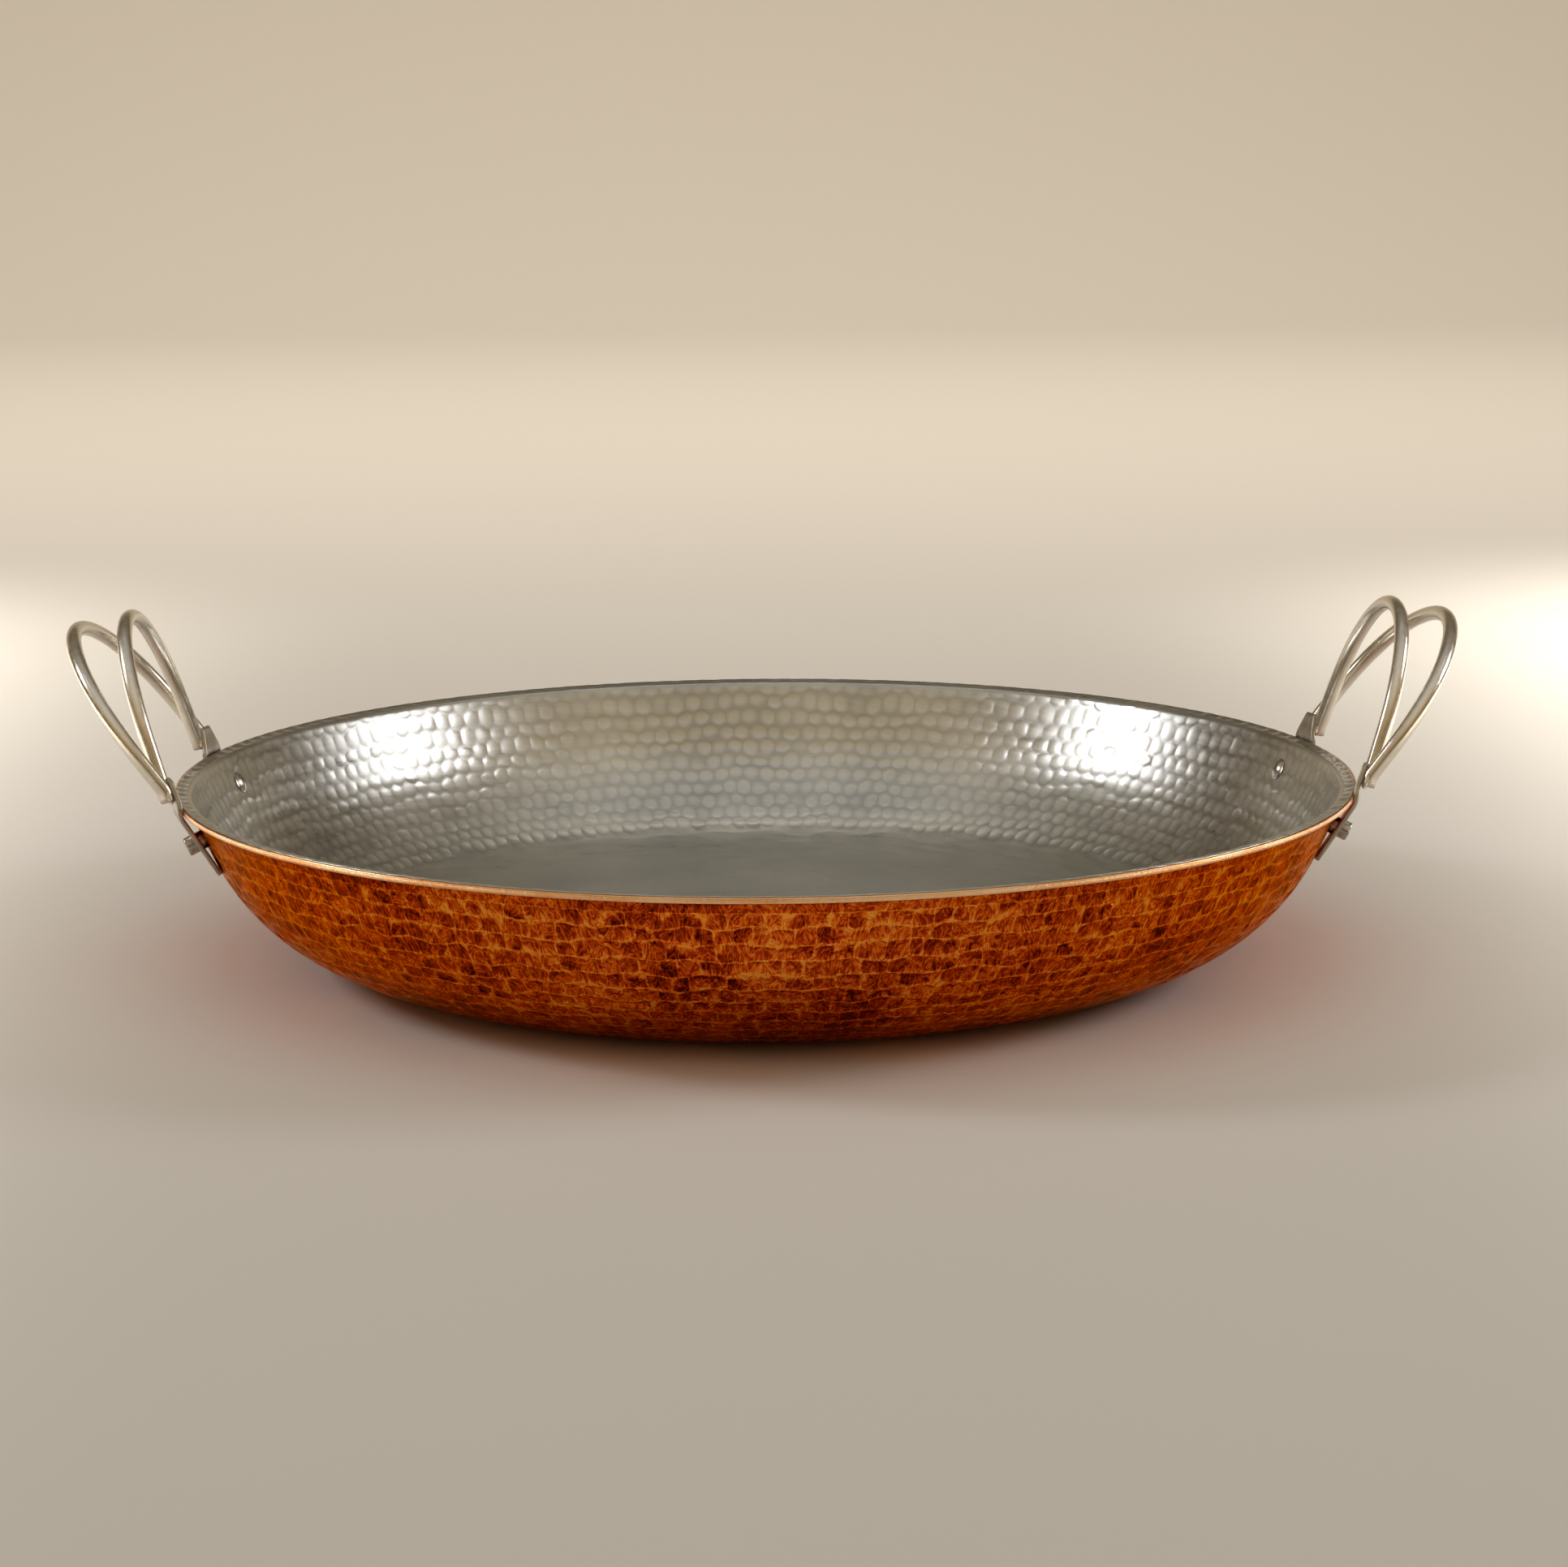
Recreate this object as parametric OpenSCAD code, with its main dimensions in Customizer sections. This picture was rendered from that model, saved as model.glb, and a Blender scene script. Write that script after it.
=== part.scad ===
// Shallow hammered copper serving pan, tinned inside, with two double-rod handles.
// +Z is up and the resting face is on Z = 0. The handles lie along +X and -X.

/* [Bowl] */
// Outside diameter over the lip
rim_d = 381; // [300:1:460]
// Height from the resting face to the top edge of the lip
bowl_h = 58; // [48:0.5:80]
// Thickness of the copper sheet
sheet_t = 2; // [1.2:0.1:3]
// Lean of the straight upper wall, from vertical
wall_lean = 25; // [10:1:35]
// Outside radius of the curve between floor and wall
corner_r = 66; // [40:1:80]

/* [Lip] */
// Flat width of the flared lip, measured level
lip_w = 3.5; // [2:0.1:8]
// Rise of the lip, from level
lip_rise = 12; // [0:1:30]
// Radius of the bend on the underside of the lip
lip_bend_r = 0.5; // [0.3:0.1:3]

/* [Tin lining] */
// Thickness of the wiped tin coat
tin_t = 0.3; // [0.2:0.05:0.6]
// Bare copper left at the lip's cut edge
tin_margin = 0.4; // [0.2:0.1:1.5]

/* [Handle rods] */
// Diameter of the round rod
rod_d = 4.76; // [3:0.1:7]
// Distance between the two feet of a handle
handle_span = 96; // [70:0.5:130]
// Lean of the inner loop and of the foot straps' tongues, from vertical
inner_lean = 17.5; // [5:0.5:28]
// Lean of the outer loop, from vertical
outer_lean = 37; // [32:0.5:50]
// Length of the inner loop, from the rod ends to the top of its crown
inner_len = 53; // [46:0.5:66]
// Length of the outer loop's arch, from its foot bend to the top of its crown
outer_len = 53; // [46:0.5:66]
// Radius of the inner loop's crown
inner_crown_r = 49.5; // [48:0.5:54]
// Radius of the outer loop's crown
outer_crown_r = 57.5; // [54:0.5:66]
// Inward slope of the inner loop's legs
inner_splay = 8.5; // [4:0.5:10]
// Straight length of the inner loop's legs
inner_leg = 17.5; // [10:0.5:22]
// Straight length of the outer loop's legs, above the foot bend
outer_leg = 9; // [2:0.5:12]
// Straight length of the outer loop's feet, below the foot bend
outer_foot = 1.5; // [1:0.5:5]
// Radius of the outer loop's foot bend, at the rod's centre
foot_bend_r = 10; // [5:0.5:20]

/* [Foot straps] */
// Thickness of the strap
strap_t = 1.6; // [1.2:0.1:3]
// Width of the strap
strap_w = 14; // [12:0.5:20]
// Width of the tongue's top
tongue_w = 6; // [4:0.5:12]
// Height of the tongue above the lip's top edge
tongue_h = 9; // [7:0.5:16]
// Height above the lip at which the tongue starts to lean
tongue_bend_h = 2; // [1:0.5:5]
// Reach of the strap below the lip's top edge
strap_drop = 21; // [17:0.5:26]
// Corner radius of the strap's lower end
strap_corner_r = 5; // [1:0.5:7]
// Depth of the flat where a rod is welded on its strap
weld_flat = 0.5; // [0.1:0.05:0.8]

/* [Rivets] */
// Diameter of the rivet's shank
shank_d = 4.5; // [3:0.1:6]
// Diameter of the stub of the rivet outside the strap
stub_d = 6; // [5:0.1:9]
// Length of the stub outside the strap
stub_len = 3; // [2:0.1:6]
// Diameter of the low dome inside the bowl
dome_d = 7.5; // [6:0.1:11]
// Height of the low dome inside the bowl
dome_h = 1.5; // [0.8:0.1:3]
// Depth of the rivets below the lip's top edge
rivet_drop = 10.8; // [9:0.1:14]

/* [Clearances] */
// Between a rivet's shank and its holes, on the radius
hole_gap = 0.05; // [0.02:0.01:0.2]
// Between the strap and the lip's cut edge
lip_gap = 0.15; // [0.1:0.05:0.6]
// Between two rods that stand side by side
rod_gap = 0.24; // [0.1:0.02:0.6]
// Under a rivet's dome, so that its flat base clears the curved wall
dome_gap = 0.06; // [0.05:0.01:0.2]

/* [Hidden] */

$fn = 96;
ARC_STEPS = 24;      // chords along the floor-to-wall curve
BEND_STEPS = 8;      // chords along the lip's bend
PAST = 1;            // how far a cutting shape runs past the face it cuts
FAR = 60;            // longer than any strap, for shapes that trim one
SLIM = 0.03;         // how much slimmer a rod's bend is than its straights, so that they fuse
LAP = 0.3;           // how far a rod's straights and crown run into its bends
FOOT_RISE = 0.2;     // how far above the tongue's bend a rod's foot stands

rod_r = rod_d / 2;
rim_r = rim_d / 2;

// ---- Bowl section: every line is at a distance "off" inside the outer skin ----

function polar(r, a) = [r * cos(a), r * sin(a)];
function arc(centre, r, a0, a1, steps) =
    [for (i = [0:steps]) centre + polar(r, a0 + (a1 - a0) * i / steps)];

// Where the lip's flat top starts, and the centre of its bend
lip_start = [rim_r - lip_w, bowl_h - lip_w * tan(lip_rise)];
bend_centre = lip_start - polar(lip_bend_r + sheet_t, 90 + lip_rise);

// Outer skin of the straight wall: its top point and its radius at any height
wall_top = bend_centre + polar(lip_bend_r, 180 - wall_lean);
function wall_r(z, off = 0) = wall_top[0] - (wall_top[1] - z) * tan(wall_lean) - off / cos(wall_lean);

// Flat floor that the corner leaves
corner_top_z = corner_r * (1 - sin(wall_lean));
floor_r = wall_r(corner_top_z) - corner_r * cos(wall_lean);

// End of the lip at radius r, on the line at distance off
function lip_end(off, r) =
    [r, bowl_h - (rim_r - r) * tan(lip_rise) - (sheet_t - off) / cos(lip_rise)];

function skin(off, end_r) = concat(
    [[0, off]],
    arc([floor_r, corner_r], corner_r - off, -90, -wall_lean, ARC_STEPS),
    arc(bend_centre, lip_bend_r + off, 180 - wall_lean, 90 + lip_rise, BEND_STEPS),
    [lip_end(off, end_r)]
);
function reversed(list) = [for (i = [len(list) - 1:-1:0]) list[i]];

// ---- Strap section: inner face outside the wall and the lip, thickness outwards ----

edge_r = rim_r + lip_gap;
edge_low_z = bowl_h - sheet_t / cos(lip_rise) - lip_gap;
strap_low_z = bowl_h - strap_drop;
tongue_base_z = bowl_h + tongue_bend_h;
tongue_top_z = bowl_h + tongue_h;

// Inner face: it leaves the wall at its lower end, clears the lip's edge and rises to the tongue's top
strap_face = [
    [wall_r(strap_low_z), strap_low_z],
    [edge_r, edge_low_z],
    [edge_r, tongue_base_z],
    [edge_r + (tongue_top_z - tongue_base_z) * tan(inner_lean), tongue_top_z]
];

function heading(a, b) = atan2(b[1] - a[1], b[0] - a[0]);
// A point moved outwards by t square to the line; at a corner both lines move by t
function moved(points, i, t) =
    let(
        before = heading(points[max(i - 1, 0)], points[max(i, 1)]),
        after = heading(points[min(i, len(points) - 2)], points[min(i + 1, len(points) - 1)]),
        half = (after - before) / 2
    )
    points[i] + polar(t / cos(half), before + half - 90);
strap_back = [for (i = [0:len(strap_face) - 1]) moved(strap_face, i, strap_t)];

// ---- Feet: where the rods stand on the tongues ----

rod_base_z = tongue_base_z + FOOT_RISE;
rod_base_r = edge_r + strap_t / cos(inner_lean) + (rod_base_z - tongue_base_z) * tan(inner_lean)
    + (rod_r - weld_flat) / cos(inner_lean);
foot_angle = asin(handle_span / 2 / rod_base_r);
rod_pitch = rod_d + rod_gap;
inner_half = (handle_span - rod_pitch) / 2;
outer_half = (handle_span + rod_pitch) / 2;
function chord_x(half) = sqrt(rod_base_r * rod_base_r - half * half);

// Outer loop: where its leaning arch starts, above the foot bend
outer_arch_x = chord_x(outer_half) + outer_foot * sin(inner_lean)
    + foot_bend_r * (cos(inner_lean) - cos(outer_lean));
outer_arch_z = rod_base_z + outer_foot * cos(inner_lean)
    + foot_bend_r * (sin(outer_lean) - sin(inner_lean));

// ---- Sections ----

module between(inside, outside) {
    rotate_extrude() polygon(concat(outside, reversed(inside)));
}

module at_rivet(side, end) {
    rotate([0, 0, side + end * foot_angle])
        translate([wall_r(bowl_h - rivet_drop), 0, bowl_h - rivet_drop])
            rotate([0, 90 + wall_lean, 0]) children();
}

module rivet_holes() {
    for (side = [0, 180], end = [-1, 1]) {
        at_rivet(side, end)
            translate([0, 0, -FAR / 2]) cylinder(r = shank_d / 2 + hole_gap, h = FAR);
    }
}

// ---- Bowl ----

module copper_bowl() {
    color("#B4643C") difference() {
        between(skin(sheet_t, rim_r), skin(0, rim_r));
        rivet_holes();
    }
}

module tin_lining() {
    color("#B9BABB") difference() {
        between(skin(sheet_t + tin_t, rim_r - tin_margin), skin(sheet_t, rim_r - tin_margin));
        rivet_holes();
    }
}

// ---- Straps ----

// Flat pattern of a strap: x across it, y up it
module strap_outline() {
    body_low = strap_low_z + strap_corner_r;
    translate([-strap_w / 2, body_low]) square([strap_w, bowl_h - body_low]);
    translate([-strap_w / 2 + strap_corner_r, strap_low_z - PAST])
        square([strap_w - 2 * strap_corner_r, strap_corner_r + 2 * PAST]);
    for (s = [-1, 1]) {
        translate([s * (strap_w / 2 - strap_corner_r), body_low]) circle(r = strap_corner_r);
    }
    polygon([
        [-strap_w / 2, bowl_h],
        [strap_w / 2, bowl_h],
        [tongue_w / 2, tongue_top_z + PAST],
        [-tongue_w / 2, tongue_top_z + PAST]
    ]);
}

// The strap before its outline and its hole are cut
module strap_band() {
    band_angle = 2 * asin((strap_w / 2 + PAST) / wall_r(strap_low_z));
    rotate([0, 0, -band_angle / 2])
        rotate_extrude(angle = band_angle) polygon(concat(strap_back, reversed(strap_face)));
}

module strap(side, end) {
    color("#A9A59C") difference() {
        rotate([0, 0, side + end * foot_angle]) intersection() {
            strap_band();
            translate([rim_r - FAR, 0, 0]) rotate([90, 0, 90]) linear_extrude(2 * FAR) strap_outline();
        }
        at_rivet(side, end)
            translate([0, 0, -FAR / 2]) cylinder(r = shank_d / 2 + hole_gap, h = FAR);
    }
}

// ---- Rods: each piece starts at the origin, heading up ----

// A bend that turns towards +X, a hair slimmer than what it joins
module rod_bend(r, a) {
    translate([r, 0, 0]) rotate([90, 0, 180])
        rotate_extrude(angle = a) translate([r, 0]) circle(r = rod_r - SLIM);
}

// An arch in the XZ plane: two straight legs, two shoulders and one crown
module arch(half, leg, splay, crown_r, height, tail) {
    leg_top = [half - leg * sin(splay), leg * cos(splay)];
    inward = [-cos(splay), -sin(splay)];
    from_crown = leg_top - [0, height - crown_r];
    shoulder_r = (crown_r * crown_r - from_crown * from_crown) / (2 * (inward * from_crown + crown_r));
    joint = from_crown + shoulder_r * inward;
    crown_start = atan2(joint[1], joint[0]);
    lap_angle = LAP / crown_r * 180 / PI;
    for (m = [0, 1]) {
        mirror([m, 0, 0]) translate([half, 0, 0]) rotate([0, -splay, 0]) {
            translate([0, 0, -tail]) cylinder(r = rod_r, h = tail + leg + LAP);
            translate([0, 0, leg]) mirror([1, 0, 0]) rod_bend(shoulder_r, crown_start - splay);
        }
    }
    translate([0, 0, height - crown_r]) rotate([90, 0, 0]) rotate([0, 0, crown_start - lap_angle])
        rotate_extrude(angle = 180 - 2 * (crown_start - lap_angle))
            translate([crown_r, 0]) circle(r = rod_r);
}

module inner_rod() {
    translate([chord_x(inner_half), 0, rod_base_z]) rotate([0, inner_lean, 0]) rotate([0, 0, 90])
        arch(inner_half, inner_leg, inner_splay, inner_crown_r, inner_len, 0);
}

module outer_rod() {
    for (m = [0, 1]) {
        mirror([0, m, 0]) translate([chord_x(outer_half), outer_half, rod_base_z])
            rotate([0, inner_lean, 0]) {
                cylinder(r = rod_r, h = outer_foot + LAP);
                translate([0, 0, outer_foot]) rod_bend(foot_bend_r, outer_lean - inner_lean);
            }
    }
    translate([outer_arch_x, 0, outer_arch_z]) rotate([0, outer_lean, 0]) rotate([0, 0, 90])
        arch(outer_half, outer_leg, 0, outer_crown_r, outer_len, LAP);
}

// A loop with the flats that seat it on its two straps
module loop(side) {
    color("#BDB8AE") rotate([0, 0, side]) difference() {
        children();
        for (end = [-1, 1]) {
            rotate([0, 0, end * foot_angle]) strap_band();
        }
    }
}

// ---- Rivets ----

// Distance from the wall to the strap's outer face, along a rivet
leg_lean = 90 - heading(strap_face[0], strap_face[1]);
rivet_foot = [wall_r(bowl_h - rivet_drop), bowl_h - rivet_drop];
strap_far = ((strap_face[0] - rivet_foot) * polar(1, -leg_lean) + strap_t) / cos(leg_lean - wall_lean);

// Dome inside, shank through wall and strap, collar in the gap between them, stub outside
module rivet(side, end) {
    grip = sheet_t + tin_t + dome_gap;
    sphere_r = (dome_d * dome_d / 4 + dome_h * dome_h) / (2 * dome_h);
    color("#C9C6C0") {
        at_rivet(side, end) {
            translate([0, 0, -grip]) cylinder(r = shank_d / 2, h = grip + strap_far + PAST);
            translate([0, 0, -grip]) intersection() {
                translate([0, 0, sphere_r - dome_h]) sphere(r = sphere_r);
                translate([0, 0, -dome_h]) cylinder(r = dome_d / 2, h = dome_h);
            }
        }
        difference() {
            at_rivet(side, end) cylinder(r = stub_d / 2, h = strap_far + stub_len);
            rotate([0, 0, side + end * foot_angle]) strap_band();
        }
    }
}

copper_bowl();
tin_lining();
loop(180) inner_rod();  // left_inner_loop
loop(180) outer_rod();  // left_outer_loop
strap(180, 1);  // left_front_strap
strap(180, -1);  // left_back_strap
rivet(180, 1);  // left_front_rivet
rivet(180, -1);  // left_back_rivet
loop(0) inner_rod();  // right_inner_loop
loop(0) outer_rod();  // right_outer_loop
strap(0, -1);  // right_front_strap
strap(0, 1);  // right_back_strap
rivet(0, -1);  // right_front_rivet
rivet(0, 1);  // right_back_rivet
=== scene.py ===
# %% [markdown]
# # A hammered copper serving pan
# The pan is one round of sheet copper, beaten with a hammer all over, with a coat of tin wiped on
# inside. Each end has a handle of two bent steel rods, welded to two straps that are riveted on.
# The CAD model already holds every size and every piece. This script builds each piece again
# inside the CAD's box, with what a plain solid leaves out: hammer marks, worn edges and welds.

import math

import bpy
import numpy as np
from mathutils import Matrix, Vector


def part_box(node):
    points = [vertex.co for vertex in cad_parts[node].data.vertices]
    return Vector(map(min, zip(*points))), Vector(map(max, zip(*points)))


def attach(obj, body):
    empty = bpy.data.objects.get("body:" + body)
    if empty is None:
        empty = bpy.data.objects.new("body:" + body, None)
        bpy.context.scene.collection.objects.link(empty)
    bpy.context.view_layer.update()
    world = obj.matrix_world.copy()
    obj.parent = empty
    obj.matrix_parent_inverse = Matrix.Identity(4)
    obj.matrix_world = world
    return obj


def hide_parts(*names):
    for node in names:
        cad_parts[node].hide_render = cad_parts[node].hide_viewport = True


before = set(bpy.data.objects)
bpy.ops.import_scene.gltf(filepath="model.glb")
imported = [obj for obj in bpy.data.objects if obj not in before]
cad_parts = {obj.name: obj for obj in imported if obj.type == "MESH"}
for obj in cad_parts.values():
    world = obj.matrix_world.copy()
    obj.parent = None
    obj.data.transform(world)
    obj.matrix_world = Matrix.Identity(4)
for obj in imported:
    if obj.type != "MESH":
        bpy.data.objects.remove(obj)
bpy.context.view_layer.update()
print("parts in the frame:", ", ".join(sorted(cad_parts)))

# %% [markdown]
# ## Sizes
# The script works in millimetres and turns them to metres when it makes a mesh. The rim and the
# height are read from the frame. The few sizes that the frame's boxes can't give, such as the
# sheet's thickness and the radius where wall meets floor, are those of the drawing.

# %% Sizes of the pan
MM = 0.001
bowl_low, bowl_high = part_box("copper_bowl")
rim_r = bowl_high[0] / MM
bowl_h = bowl_high[2] / MM
sheet_t = 2
tin_t = 0.3
tin_margin = 0.4
wall_lean = math.radians(25)
corner_r = 66
lip_w = 3.5
lip_rise = math.radians(12)
lip_bend_r = 0.5
print(f"rim radius {rim_r:.1f} mm, height {bowl_h:.1f} mm")

# %% [markdown]
# ## The pan's outline
# A pan of revolution is one line turned about its axis. The line runs from the rim, round the
# small bend under the lip, down the straight wall, round the corner and in to the middle of the
# floor. Every skin of the pan, outside or inside, is this line moved by a distance.


# %% The line of one skin
def arc(centre, radius, start, end):
    """Points on an arc in the r, z plane, every 0.4 mm or closer. Angles in radians."""
    steps = max(8, math.ceil(abs(end - start) * radius / 0.4))
    turn = np.linspace(start, end, steps + 1)
    return np.column_stack([centre[0] + radius * np.cos(turn), centre[1] + radius * np.sin(turn)])


def skin_line(offset, end_r):
    """The skin offset mm inside the copper's outer face, from the lip at end_r to the axis."""
    lip_in = np.array([rim_r - lip_w, bowl_h - lip_w * math.tan(lip_rise)])
    across_lip = np.array([-math.sin(lip_rise), math.cos(lip_rise)])
    bend = lip_in - (lip_bend_r + sheet_t) * across_lip
    along_wall = np.array([-math.cos(wall_lean), math.sin(wall_lean)])
    wall_top = bend + lip_bend_r * along_wall
    corner_top = corner_r * (1 - math.sin(wall_lean))
    wall_r = wall_top[0] - (wall_top[1] - corner_top) * math.tan(wall_lean)
    floor_r = wall_r - corner_r * math.cos(wall_lean)
    lip_z = bowl_h - (rim_r - end_r) * math.tan(lip_rise) - (sheet_t - offset) / math.cos(lip_rise)
    bend_arc = arc(bend, lip_bend_r + offset, math.pi / 2 + lip_rise, math.pi - wall_lean)
    corner = arc((floor_r, corner_r), corner_r - offset, -wall_lean, -math.pi / 2)
    return np.vstack([[[end_r, lip_z]], bend_arc, corner, [[0, offset]]])


def along(line, distance):
    """Points and outward normals at the given distances down a skin line."""
    step = np.hypot(*np.diff(line, axis=0).T)
    reach = np.concatenate([[0], np.cumsum(step)])
    point = np.column_stack([np.interp(distance, reach, line[:, k]) for k in (0, 1)])
    middle = (reach[:-1] + reach[1:]) / 2
    way = np.diff(line, axis=0) / step[:, None]
    tangent = np.column_stack([np.interp(distance, middle, way[:, k]) for k in (0, 1)])
    tangent /= np.hypot(*tangent.T)[:, None]
    return point, np.column_stack([-tangent[:, 1], tangent[:, 0]])


def distance_at_r(line, radius):
    """How far down the line the skin comes in to a radius."""
    step = np.hypot(*np.diff(line, axis=0).T)
    reach = np.concatenate([[0], np.cumsum(step)])
    return float(np.interp(-radius, -line[:, 0], reach))


outside = skin_line(0, rim_r)
inside = skin_line(sheet_t + tin_t, rim_r - tin_margin)
print(f"outline from rim to floor centre: {np.hypot(*np.diff(outside, axis=0).T).sum():.0f} mm")

# %% [markdown]
# ## Hammer marks
# A smith turns the pan a little between blows, so the marks lie in rings. Each blow leaves a
# shallow dish about as wide as the hammer's face. Its neighbours leave a thin raised line
# between them. A bump map could fake this, but the outline and the reflections would then give
# it away. Here each ring of marks is real mesh. A mark gets five columns and six rows of points,
# placed so that the raised lines always fall on edges of the mesh, which keeps them sharp.


# %% Rings of points
def waves(seed, count, lowest, highest):
    """A smooth wobble round the pan, made of a few sine waves. Its size is about 1."""
    rng = np.random.default_rng(seed)
    number = rng.integers(lowest, highest + 1, count)
    phase = rng.uniform(0, math.tau, count)
    return lambda angle: np.sin(np.outer(angle, number) + phase).sum(axis=1) / math.sqrt(count / 2)


# The depth that a smooth place is given, in mm, so that it doesn't get the paler colour of a raised
# line, which is partly polish wear and partly a painted highlight.
SMOOTH_DEPTH = 0.05


def plain_ring(line, distance, columns, lift=0.0):
    """One smooth ring of a skin, moved out along its normal by lift mm."""
    angle = np.linspace(0, math.tau, columns, endpoint=False)
    point, normal = along(line, np.full(columns, distance))
    place = point + normal * np.reshape(lift, (-1, 1))
    depth, tone = np.full(columns, SMOOTH_DEPTH), np.zeros(columns)
    return {"angle": angle, "r": place[:, 0], "z": place[:, 1], "depth": depth, "tone": tone}


# Where a mark's points stand across it and down it, from -1 at one edge to 1 at the other.
COLUMN_PLACES = np.array([-1, -0.84, -0.3, 0.3, 0.84])
ROW_PLACES = np.array([-1, -0.82, -0.28, 0.28, 0.82, 1])


def mark_rows(line, edges, mark_w, depth, seed, into, ridge, sharp, tilt, zigzag, around=None):
    """Rings of points for rows of hammer marks.

    edges are the distances down the line where one row ends and the next begins. With around
    given, every row has that many marks and each row is turned half a mark, as in a honeycomb.
    into is 1 where metal lies on the normal's side of the skin, and -1 where it lies on the other.
    ridge is the half width of a raised line in mm, sharp says how flat a mark's middle is, tilt how
    much a mark leans, and zigzag how far its upper and lower edges come to a point.
    """
    rng = np.random.default_rng(seed)
    edge_waves = [waves(seed + 1 + k, 5, 9, 70) for k in range(len(edges))]
    edge_sway = 0.5
    rings = []
    shared = None
    if around:
        shared = np.linspace(0, math.tau, around, endpoint=False)
        shared = shared + rng.uniform(-0.07, 0.07, around) * math.tau / around
    for row, (top, bottom) in enumerate(zip(edges[:-1], edges[1:])):
        middle_r = along(line, np.array([(top + bottom) / 2]))[0][0, 0]
        count = max(12, round(math.tau * middle_r / mark_w))
        width = np.clip(rng.normal(1, 0.16, count), 0.6, 1.45)
        edge = np.concatenate([[0], np.cumsum(width)]) / width.sum() * math.tau
        edge = rng.uniform(0, math.tau) + edge
        if around:
            count = around
            start = shared if row % 2 else (shared + np.append(shared[1:], shared[0] + math.tau)) / 2
            edge = np.append(start, start[0] + math.tau)
        lean = np.clip(rng.normal(0, 0.1, count), -0.15, 0.15)
        deep = depth[row] * np.clip(rng.normal(1, 0.22, count), 0.45, 1.6)
        tilt_s, tilt_t = rng.normal(0, tilt, (2, count))
        shift = np.clip(rng.normal(0, 0.22, count), -0.4, 0.4)
        tone = rng.uniform(-1, 1, count)
        # Painted shade: each mark's colour slopes across it, lighter on one side and darker on the other,
        # on top of its random tone.
        painted_shade_across, painted_shade_down = rng.normal(0, 0.9, (2, count))
        for place in ROW_PLACES:
            left, right = edge[:-1], edge[1:]
            half = (right - left) / 2
            slant = np.outer(lean * half, place * (1 - np.abs(COLUMN_PLACES)))
            angle = ((left + right) / 2)[:, None] + half[:, None] * COLUMN_PLACES + slant
            angle = angle.ravel()
            across_place = np.abs(np.tile(COLUMN_PLACES, count))
            rounding = 1 - 0.12 * across_place**3
            point_out = zigzag * (1 - 2 * across_place)
            high = top + edge_sway * edge_waves[row](angle) + ridge - point_out
            low = bottom + edge_sway * edge_waves[row + 1](angle) - ridge + point_out
            if row == 0:
                high = np.full_like(angle, top)
            distance = (high + low) / 2 + (low - high) / 2 * place * rounding
            distance = distance + np.repeat(shift, len(COLUMN_PLACES)) * (1 - abs(place))
            across = 1 - np.abs(COLUMN_PLACES) ** sharp
            down = 1 - abs(place) ** sharp
            dish = np.outer(deep, across * down)
            sway = deep[:, None] * (tilt_s[:, None] * COLUMN_PLACES + tilt_t[:, None] * place)
            sink = np.clip(dish + sway * across * down * 1.2, 0, 1.7 * depth[row]).ravel()
            point, normal = along(line, distance)
            put = point + into * normal * sink[:, None]
            tone_plus_painted_shade = tone[:, None] + painted_shade_across[:, None] * COLUMN_PLACES + painted_shade_down[:, None] * place
            shade = (tone_plus_painted_shade * np.minimum(1, 3 * across * down)).ravel()
            rings.append({"angle": angle, "r": put[:, 0], "z": put[:, 1], "depth": sink, "tone": shade})
    return rings
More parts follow.
